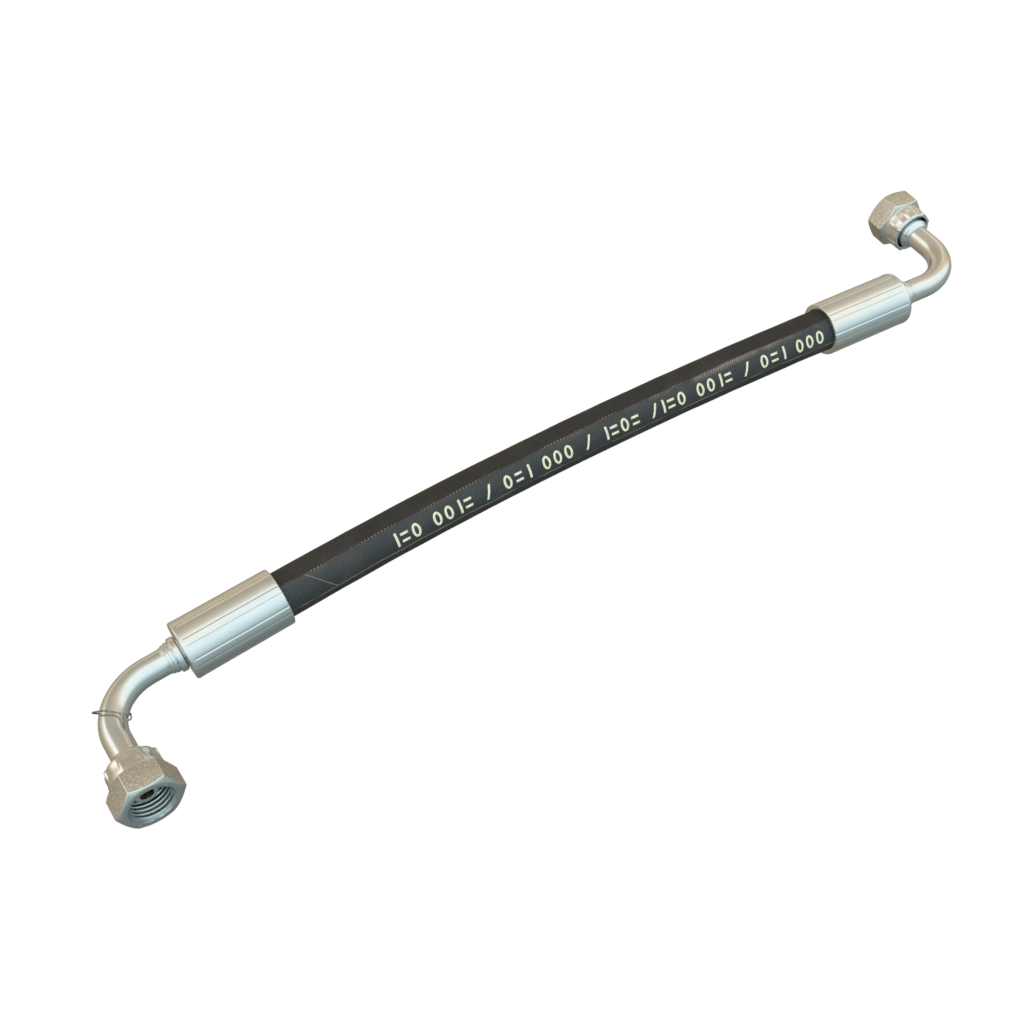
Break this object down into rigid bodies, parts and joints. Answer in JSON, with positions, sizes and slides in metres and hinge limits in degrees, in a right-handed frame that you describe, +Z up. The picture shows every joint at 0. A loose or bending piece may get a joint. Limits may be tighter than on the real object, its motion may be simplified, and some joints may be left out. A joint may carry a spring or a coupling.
{
  "type": "hydraulic hose assembly",
  "caption": "Wire-braided rubber hose with a crimped ferrule, a bent tube and a free-turning union nut on each end, for carrying pressurised oil between two ports.",
  "frame": {"origin": "middle of the footprint, on the surface that it lies on", "axes": "+Z up, +X along the hose from end a to end b; end a turns towards -Y and end b towards +Y"},
  "size_m": [0.3406, 0.0812, 0.0197],
  "materials": {
    "cover_rubber": "matte black synthetic rubber with a cloth-wrapped texture",
    "tube_rubber": "smooth black nitrile",
    "layer_rubber": "plain black rubber sheet",
    "braid_wire": "brass-coated high-tensile wire braid",
    "ferrule_zinc": "crimped steel, bright zinc plate with fine lengthwise scratches",
    "tube_zinc": "smooth steel, bright zinc plate",
    "nut_zinc": "steel hexagon with grainy flats and bright turned chamfers, zinc plate",
    "seal_rubber": "smooth black nitrile",
    "soft_wire": "soft galvanised wire"
  },
  "bodies": {
    "root": {"hose_inner_tube": "tube_rubber", "hose_inner_braid": "braid_wire", "hose_insulation": "layer_rubber", "hose_outer_braid": "braid_wire", "hose_cover": "cover_rubber", "ferrule_a": "ferrule_zinc", "hose_tail_a": "tube_zinc", "elbow_tube_a": "tube_zinc", "cone_nose_a": "tube_zinc", "o_ring_a": "seal_rubber", "ferrule_b": "ferrule_zinc", "hose_tail_b": "tube_zinc", "elbow_tube_b": "tube_zinc", "cone_nose_b": "tube_zinc", "o_ring_b": "seal_rubber"},
    "nut_a": {"swivel_nut_a": "nut_zinc"},
    "nut_b": {"swivel_nut_b": "nut_zinc"},
    "wire": {"tag_wire": "soft_wire"}
  },
  "joints": [
    {"name": "nut_a_spin", "type": "hinge", "parent": "root", "child": "nut_a", "pos_m": [-0.16006, -0.03996, 0.00915], "axis": [0.0785, -0.9969, 0], "continuous": true},
    {"name": "nut_b_spin", "type": "hinge", "parent": "root", "child": "nut_b", "pos_m": [0.16061, 0.03997, 0.01088], "axis": [0.0656, 0.9969, 0.0436], "continuous": true},
    {"name": "tag_wire_spin", "type": "hinge", "parent": "root", "child": "wire", "pos_m": [-0.1602, -0.0076, 0.00915], "axis": [-0.4617, -0.887, 0], "continuous": true}
  ]
}
